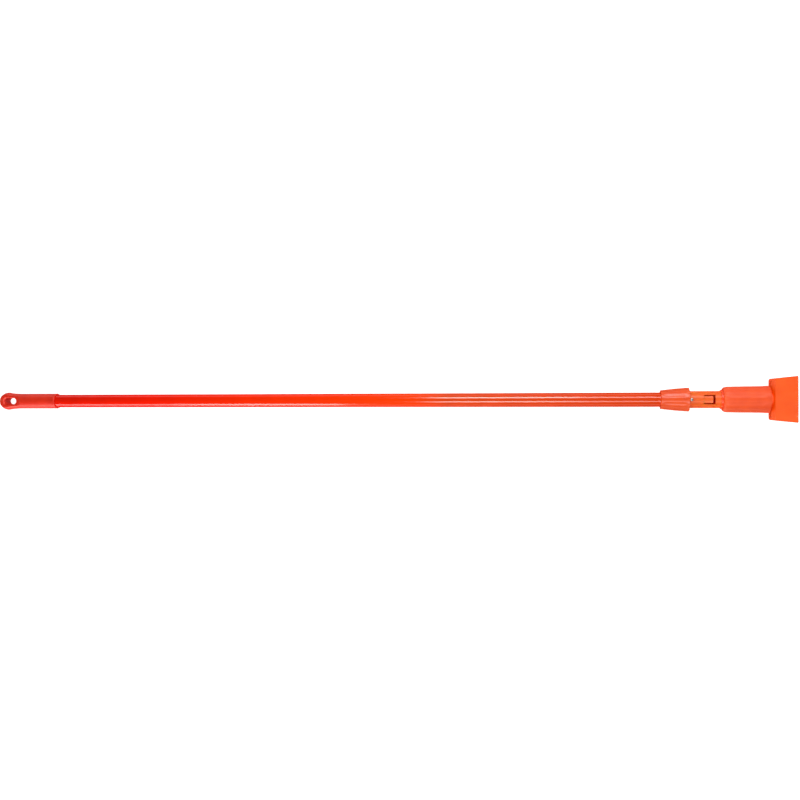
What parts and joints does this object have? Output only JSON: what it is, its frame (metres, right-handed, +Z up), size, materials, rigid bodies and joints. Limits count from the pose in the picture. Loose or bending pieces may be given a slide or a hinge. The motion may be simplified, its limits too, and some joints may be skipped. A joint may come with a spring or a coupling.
{
  "type": "jaw clamp mop handle",
  "caption": "Long-handled floor tool: sprung jaws at the head, closed by a sliding lock sleeve, on a vinyl-coated tube with a hanging cap.",
  "frame": {"origin": "middle of the handle's box, on the plane the handle lies on", "axes": "+X along the handle towards the jaws' mouth, +Z up through the upper jaw's flat face, +Y across the jaws' width"},
  "size_m": [1.524, 0.0792, 0.0468],
  "materials": {
    "tube_metal": "drawn aluminium tube",
    "vinyl": "glossy extruded vinyl jacket, orange red",
    "plug_wood": "turned softwood",
    "cap_red": "satin moulded polyethylene, red",
    "coral_plastic": "satin moulded polypropylene, coral orange",
    "orange_plastic": "satin moulded polypropylene, orange",
    "bush_plastic": "moulded acetal, orange",
    "steel": "zinc-plated steel",
    "spring_steel": "drawn spring wire"
  },
  "bodies": {
    "stick": {"core_tube": "tube_metal", "vinyl_jacket": "vinyl", "tube_plug": "plug_wood", "hang_cap": "cap_red", "neck": "orange_plastic", "neck_rivets": "steel", "upper_hinge_pin": "steel", "lower_hinge_pin": "steel", "jaw_spring": "spring_steel"},
    "collet": {"collet_ring": "bush_plastic"},
    "nut": {"clamp_nut": "coral_plastic"},
    "tongue": {"latch_tongue": "orange_plastic"},
    "sleeve": {"lock_sleeve": "coral_plastic", "guide_bush": "bush_plastic"},
    "jaw_top": {"upper_jaw": "orange_plastic"},
    "jaw_bottom": {"lower_jaw": "orange_plastic"}
  },
  "joints": [
    {"name": "sleeve_slide", "type": "slide", "parent": "stick", "child": "sleeve", "axis": [1, 0, 0], "range_m": [-0.028, 0]},
    {"name": "upper_jaw_hinge", "type": "hinge", "parent": "stick", "child": "jaw_top", "pos_m": [0.665, 0, 0.0304], "axis": [0, -1, 0], "range_deg": [0, 14], "deforming": ["jaw_spring"]},
    {"name": "lower_jaw_hinge", "type": "hinge", "parent": "stick", "child": "jaw_bottom", "pos_m": [0.665, 0, 0.0164], "axis": [0, 1, 0], "range_deg": [0, 14]},
    {"name": "tongue_bend", "type": "hinge", "parent": "stick", "child": "tongue", "pos_m": [0.6115, 0, 0.0354], "axis": [0, 1, 0], "range_deg": [0, 10.5]},
    {"name": "collet_slide", "type": "slide", "parent": "stick", "child": "collet", "axis": [1, 0, 0], "range_m": [-0.006, 0]},
    {"name": "nut_turn", "type": "hinge", "parent": "collet", "child": "nut", "pos_m": [0.5645, 0, 0.0234], "axis": [1, 0, 0], "range_deg": [0, 720]}
  ],
  "couplings": [
    {"joint": "upper_jaw_hinge", "follows": "sleeve_slide", "rad_per_m": -8.725},
    {"joint": "lower_jaw_hinge", "follows": "sleeve_slide", "rad_per_m": -8.725},
    {"joint": "tongue_bend", "follows": "sleeve_slide", "rad_per_m": -6.54},
    {"joint": "collet_slide", "follows": "nut_turn", "m_per_rad": -0.000477}
  ]
}
